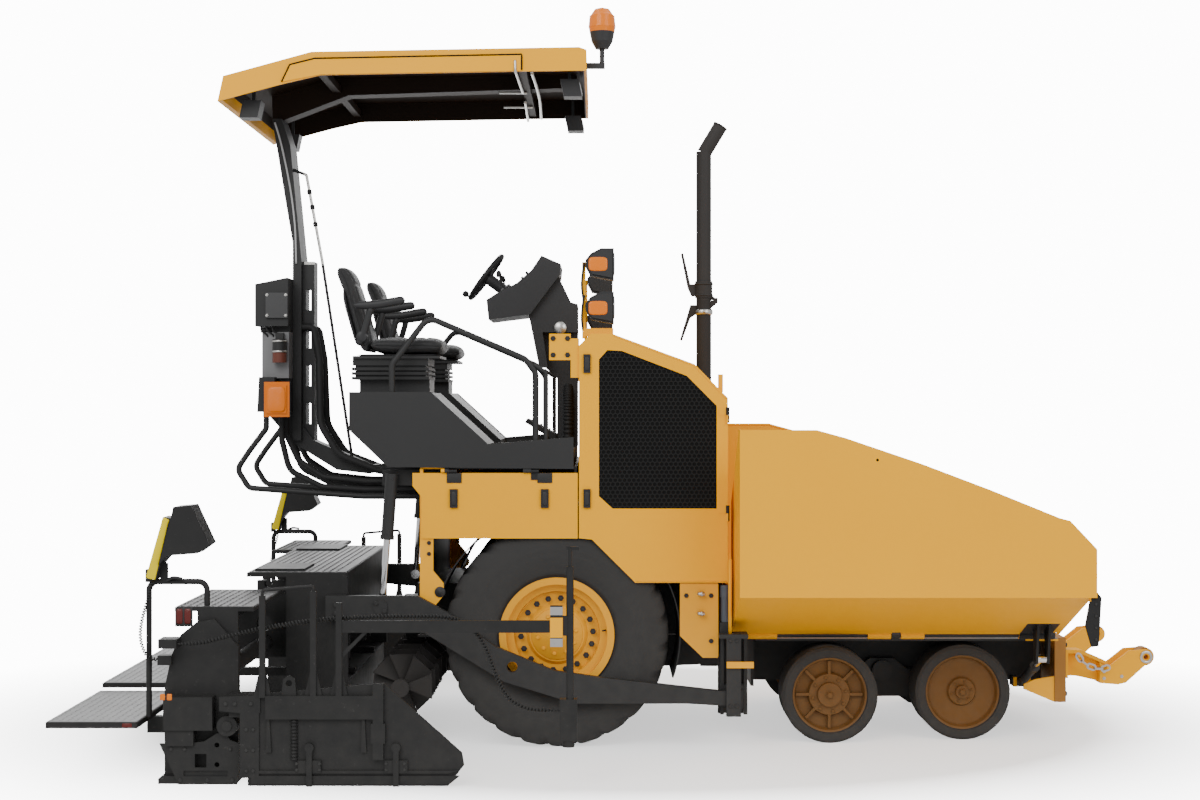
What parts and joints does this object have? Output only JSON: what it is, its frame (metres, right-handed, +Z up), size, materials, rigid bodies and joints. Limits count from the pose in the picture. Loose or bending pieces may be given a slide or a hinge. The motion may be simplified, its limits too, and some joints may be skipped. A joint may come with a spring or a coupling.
{
  "type": "wheeled asphalt paver",
  "caption": "Small wheeled asphalt paver: hopper with folding wings, slat conveyors, augers, canopy platform and a screed with sliding extensions.",
  "frame": {"origin": "centre of the bounding box, on the ground", "axes": "+X forward to the push rollers, +Y to the left, +Z up"},
  "size_m": [5.208, 3.552, 3.62],
  "materials": {
    "yellow_paint": "semi-gloss paint",
    "dark_paint": "satin dark grey paint",
    "tyre": "moulded rubber",
    "seat_cover": "matt vinyl",
    "bare_steel": "worn bare metal",
    "dark_plastic": "fine moulded grain",
    "chrome_rod": "polished",
    "cord_rubber": "matt"
  },
  "bodies": {
    "tractor": {"arch_liners": "dark_paint", "bogie_beams": "dark_paint", "canopy_mast": "dark_paint", "canopy_roof": "yellow_paint", "console": "dark_plastic", "conveyors": "bare_steel", "engine_block": "bare_steel", "final_drives": "dark_paint", "guard_tubes": "dark_paint", "handrails": "dark_paint", "hood_shell": "yellow_paint", "lamps": "dark_plastic", "main_frame": "yellow_paint", "platform": "dark_paint", "push_arms": "yellow_paint", "rear_cabinet": "dark_paint", "rear_hoses": "cord_rubber", "safety_chains": "bare_steel", "seat_pads": "seat_cover", "tow_guides": "dark_paint"},
    "rear_wheel_right": {"rear_tyre_right": "tyre", "rear_rim_right": "yellow_paint"},
    "rear_wheel_left": {"rear_tyre_left": "tyre", "rear_rim_left": "yellow_paint"},
    "steering_wheel": {"steering_wheel": "dark_plastic"},
    "exhaust_stack": {"exhaust_stack": "dark_paint"},
    "tow_sliders": {"tow_sliders": "dark_paint"},
    "screed": {"tow_arms": "dark_paint", "screed_body": "dark_paint"},
    "extension_right": {"extension_right": "dark_paint", "end_gate_right": "dark_paint", "sensor_cord": "cord_rubber", "remote_cord_right": "cord_rubber"},
    "extension_left": {"extension_left": "dark_paint", "end_gate_left": "dark_paint", "remote_cord_left": "cord_rubber"},
    "lift_barrels": {"lift_barrels": "dark_paint"},
    "lift_rods": {"lift_rods": "chrome_rod"},
    "push_roller_right": {"push_roller_right": "yellow_paint"},
    "hopper_wing_right": {"hopper_wing_right": "yellow_paint"},
    "wing_barrel_right": {"wing_barrel_right": "dark_paint"},
    "wing_rod_right": {"wing_rod_right": "chrome_rod"},
    "hood_door_right": {"hood_door_right": "yellow_paint"},
    "rear_panel_right": {"rear_panel_right": "yellow_paint"},
    "auger_right": {"auger_right": "bare_steel"},
    "knuckle_a_right": {"knuckle_a_right": "dark_paint"},
    "front_wheel_a_right": {"front_wheel_a_right": "yellow_paint"},
    "knuckle_b_right": {"knuckle_b_right": "dark_paint"},
    "front_wheel_b_right": {"front_wheel_b_right": "yellow_paint"},
    "push_roller_left": {"push_roller_left": "yellow_paint"},
    "hopper_wing_left": {"hopper_wing_left": "yellow_paint"},
    "wing_barrel_left": {"wing_barrel_left": "dark_paint"},
    "wing_rod_left": {"wing_rod_left": "chrome_rod"},
    "hood_door_left": {"hood_door_left": "yellow_paint"},
    "rear_panel_left": {"rear_panel_left": "yellow_paint"},
    "auger_left": {"auger_left": "bare_steel"},
    "knuckle_a_left": {"knuckle_a_left": "dark_paint"},
    "front_wheel_a_left": {"front_wheel_a_left": "yellow_paint"},
    "knuckle_b_left": {"knuckle_b_left": "dark_paint"},
    "front_wheel_b_left": {"front_wheel_b_left": "yellow_paint"}
  },
  "joints": [
    {"name": "rear_wheel_right_spin", "type": "hinge", "parent": "tractor", "child": "rear_wheel_right", "pos_m": [-0.388, -0.667, 0.545], "axis": [0, 1, 0], "continuous": true},
    {"name": "steer_a_right", "type": "hinge", "parent": "tractor", "child": "knuckle_a_right", "pos_m": [0.953, -0.534, 0.235], "axis": [0, 0, 1], "range_deg": [-16.75, 16.75]},
    {"name": "front_wheel_a_right_spin", "type": "hinge", "parent": "knuckle_a_right", "child": "front_wheel_a_right", "pos_m": [0.953, -0.604, 0.235], "axis": [0, 1, 0], "continuous": true},
    {"name": "steer_b_right", "type": "hinge", "parent": "tractor", "child": "knuckle_b_right", "pos_m": [1.624, -0.44, 0.235], "axis": [0, 0, 1], "range_deg": [-25, 25]},
    {"name": "front_wheel_b_right_spin", "type": "hinge", "parent": "knuckle_b_right", "child": "front_wheel_b_right", "pos_m": [1.624, -0.51, 0.235], "axis": [0, 1, 0], "continuous": true},
    {"name": "push_roller_right_spin", "type": "hinge", "parent": "tractor", "child": "push_roller_right", "pos_m": [2.563, -0.46, 0.397], "axis": [0, 1, 0], "continuous": true},
    {"name": "hood_door_right_swing", "type": "hinge", "parent": "tractor", "child": "hood_door_right", "pos_m": [0.4405, -0.8716, 1.2], "axis": [0, 0, 1], "range_deg": [0, 85]},
    {"name": "rear_panel_right_lift", "type": "hinge", "parent": "tractor", "child": "rear_panel_right", "pos_m": [-0.7, -0.8716, 1.343], "axis": [-1, 0, 0], "range_deg": [0, 85]},
    {"name": "auger_right_spin", "type": "hinge", "parent": "tractor", "child": "auger_right", "pos_m": [-1.15, -0.44, 0.285], "axis": [0, 1, 0], "continuous": true},
    {"name": "wing_right_fold", "type": "hinge", "parent": "tractor", "child": "hopper_wing_right", "pos_m": [1.3, -0.62, 0.52], "axis": [-1, 0, 0], "range_deg": [0, 55]},
    {"name": "extension_right_slide", "type": "slide", "parent": "screed", "child": "extension_right", "axis": [0, 1, 0], "range_m": [0, 0.8]},
    {"name": "rear_wheel_left_spin", "type": "hinge", "parent": "tractor", "child": "rear_wheel_left", "pos_m": [-0.388, 0.667, 0.545], "axis": [0, 1, 0], "continuous": true},
    {"name": "steer_a_left", "type": "hinge", "parent": "tractor", "child": "knuckle_a_left", "pos_m": [0.953, 0.534, 0.235], "axis": [0, 0, 1], "range_deg": [-16.75, 16.75]},
    {"name": "front_wheel_a_left_spin", "type": "hinge", "parent": "knuckle_a_left", "child": "front_wheel_a_left", "pos_m": [0.953, 0.604, 0.235], "axis": [0, 1, 0], "continuous": true},
    {"name": "steer_b_left", "type": "hinge", "parent": "tractor", "child": "knuckle_b_left", "pos_m": [1.624, 0.44, 0.235], "axis": [0, 0, 1], "range_deg": [-25, 25]},
    {"name": "front_wheel_b_left_spin", "type": "hinge", "parent": "knuckle_b_left", "child": "front_wheel_b_left", "pos_m": [1.624, 0.51, 0.235], "axis": [0, 1, 0], "continuous": true},
    {"name": "push_roller_left_spin", "type": "hinge", "parent": "tractor", "child": "push_roller_left", "pos_m": [2.563, 0.46, 0.397], "axis": [0, 1, 0], "continuous": true},
    {"name": "hood_door_left_swing", "type": "hinge", "parent": "tractor", "child": "hood_door_left", "pos_m": [0.4405, 0.8716, 1.2], "axis": [0, 0, -1], "range_deg": [0, 85]},
    {"name": "rear_panel_left_lift", "type": "hinge", "parent": "tractor", "child": "rear_panel_left", "pos_m": [-0.7, 0.8716, 1.343], "axis": [1, 0, 0], "range_deg": [0, 85]},
    {"name": "auger_left_spin", "type": "hinge", "parent": "tractor", "child": "auger_left", "pos_m": [-1.15, 0.44, 0.285], "axis": [0, 1, 0], "continuous": true},
    {"name": "wing_left_fold", "type": "hinge", "parent": "tractor", "child": "hopper_wing_left", "pos_m": [1.3, 0.62, 0.52], "axis": [1, 0, 0], "range_deg": [0, 55]},
    {"name": "extension_left_slide", "type": "slide", "parent": "screed", "child": "extension_left", "axis": [0, -1, 0], "range_m": [0, 0.8]},
    {"name": "wing_barrel_right_swing", "type": "hinge", "parent": "tractor", "child": "wing_barrel_right", "pos_m": [1.985, -0.3, 0.24], "axis": [-1, 0, 0], "range_deg": [-0.5, 12.73]},
    {"name": "wing_rod_right_slide", "type": "slide", "parent": "wing_barrel_right", "child": "wing_rod_right", "axis": [0, -0.9285, 0.3714], "range_m": [-0.002, 0.1074]},
    {"name": "wing_barrel_left_swing", "type": "hinge", "parent": "tractor", "child": "wing_barrel_left", "pos_m": [1.985, 0.3, 0.24], "axis": [1, 0, 0], "range_deg": [-0.5, 12.73]},
    {"name": "wing_rod_left_slide", "type": "slide", "parent": "wing_barrel_left", "child": "wing_rod_left", "axis": [0, 0.9285, 0.3714], "range_m": [-0.002, 0.1074]},
    {"name": "steering_wheel_spin", "type": "hinge", "parent": "tractor", "child": "steering_wheel", "pos_m": [-0.78, 0, 2.3375], "axis": [-0.8, 0, 0.6], "continuous": true},
    {"name": "exhaust_fold", "type": "hinge", "parent": "tractor", "child": "exhaust_stack", "pos_m": [0.432, 0, 2.215], "axis": [0, 1, 0], "range_deg": [0, 90]},
    {"name": "tow_point_lift", "type": "slide", "parent": "tractor", "child": "tow_sliders", "axis": [0, 0, 1], "range_m": [-0.04, 0.08]},
    {"name": "screed_lift", "type": "hinge", "parent": "tow_sliders", "child": "screed", "pos_m": [0.47, 0, 0.25], "axis": [0, 1, 0], "range_deg": [0, 6.5]},
    {"name": "lift_barrel_swing", "type": "hinge", "parent": "tractor", "child": "lift_barrels", "pos_m": [-1.19, 0, 1.31], "axis": [0, 1, 0], "range_deg": [-5.88, 0.5]},
    {"name": "lift_rod_slide", "type": "slide", "parent": "lift_barrels", "child": "lift_rods", "axis": [-0.0724, 0, -0.9974], "range_m": [-0.19508, 0.002]}
  ],
  "couplings": [
    {"joint": "wing_barrel_right_swing", "follows": "wing_right_fold", "ratio": 0.22238},
    {"joint": "wing_rod_right_slide", "follows": "wing_right_fold", "m_per_rad": 0.1098},
    {"joint": "wing_barrel_left_swing", "follows": "wing_left_fold", "ratio": 0.22238},
    {"joint": "wing_rod_left_slide", "follows": "wing_left_fold", "m_per_rad": 0.1098},
    {"joint": "steer_b_left", "follows": "steer_b_right", "ratio": 1},
    {"joint": "steer_a_right", "follows": "steer_b_right", "ratio": 0.67},
    {"joint": "steer_a_left", "follows": "steer_b_right", "ratio": 0.67},
    {"joint": "lift_barrel_swing", "follows": "screed_lift", "ratio": -0.82842},
    {"joint": "lift_rod_slide", "follows": "screed_lift", "m_per_rad": -1.7019}
  ]
}
